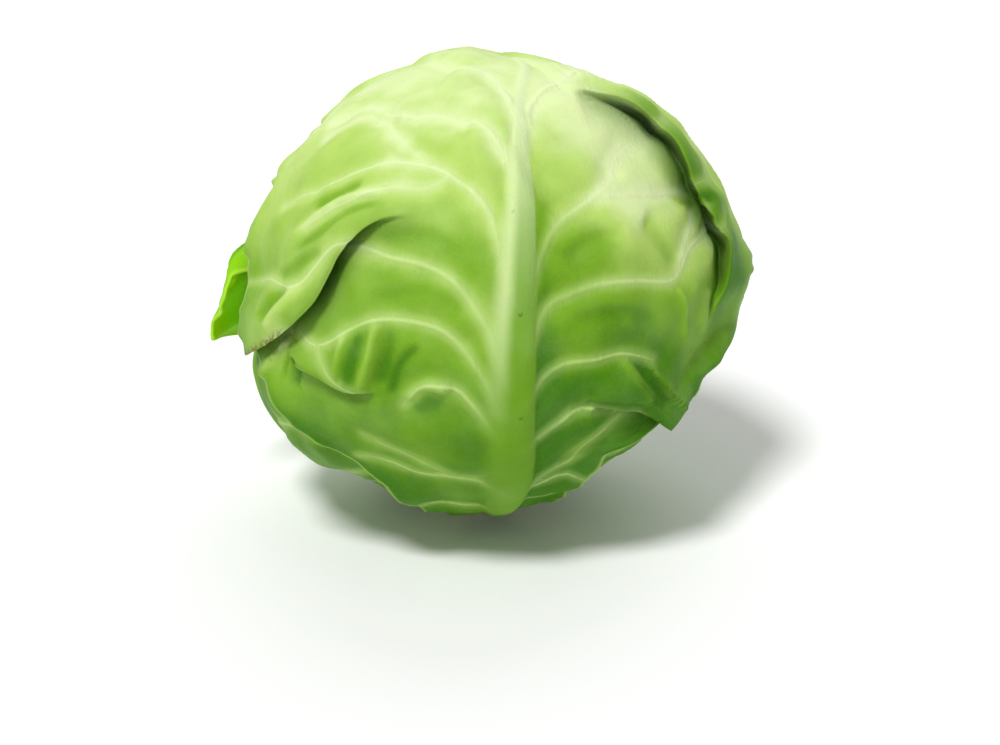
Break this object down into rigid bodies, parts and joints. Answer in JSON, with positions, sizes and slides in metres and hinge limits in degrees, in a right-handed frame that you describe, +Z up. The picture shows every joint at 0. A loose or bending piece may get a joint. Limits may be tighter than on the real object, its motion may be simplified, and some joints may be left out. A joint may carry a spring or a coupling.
{
  "type": "cabbage head",
  "caption": "Round green cabbage head with overlapping wrapper leaves round a dense heart, standing on its cut stump.",
  "frame": {"origin": "centre of the stump's flat cut face, which the head stands on", "axes": "+Z up along the stump, -Y towards the middle of the front wrapper leaf, +X to the right as seen from the front"},
  "size_m": [0.2044, 0.1822, 0.1796],
  "materials": {
    "wrapper_leaf": null,
    "heart_leaf": null,
    "stump": null
  },
  "bodies": {
    "root": {"stump": "stump", "heart": "heart_leaf", "left_leaf": "wrapper_leaf", "back_leaf": "wrapper_leaf", "right_leaf": "wrapper_leaf", "front_leaf": "wrapper_leaf"}
  },
  "joints": []
}
